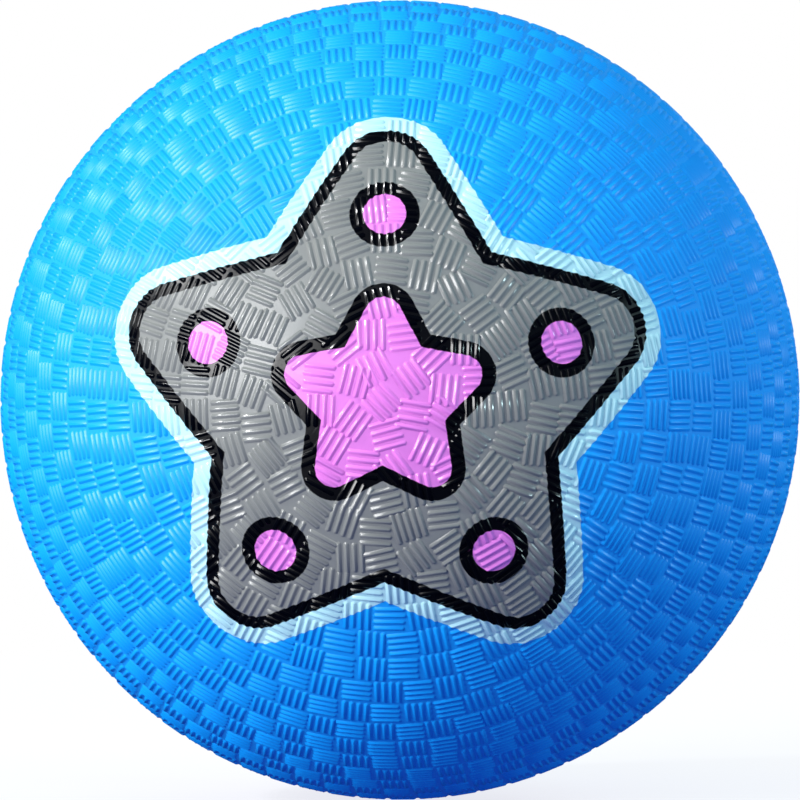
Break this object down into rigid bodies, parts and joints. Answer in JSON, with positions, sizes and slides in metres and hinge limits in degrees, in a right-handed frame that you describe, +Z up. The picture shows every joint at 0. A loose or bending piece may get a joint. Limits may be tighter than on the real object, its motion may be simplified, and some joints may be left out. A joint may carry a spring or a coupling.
{
  "type": "dodgeball",
  "caption": "Inflatable rubber playground ball: a moulded cover with raised rib patches over an air bladder, with a pull-out needle valve at the back.",
  "frame": {"origin": "centre of the ball", "axes": "+Z up, -Y towards the printed front, +Y along the valve, out of the back; X to the right as seen from the front"},
  "size_m": [0.127, 0.1267, 0.127],
  "materials": {
    "cover_rubber": "satin moulded blue rubber with raised rib patches and a printed design on the front",
    "bladder_rubber": "matt black butyl",
    "valve_rubber": "satin black moulded rubber",
    "plug_rubber": "satin dark grey soft rubber"
  },
  "bodies": {
    "ball": {"cover_front": "cover_rubber", "cover_back": "cover_rubber", "bladder": "bladder_rubber", "valve_patch": "bladder_rubber", "valve_housing": "valve_rubber"},
    "plug": {"valve_plug": "plug_rubber"}
  },
  "joints": [
    {"name": "plug_pull", "type": "slide", "parent": "ball", "child": "plug", "axis": [0, 1, 0], "range_m": [0, 0.015]}
  ]
}
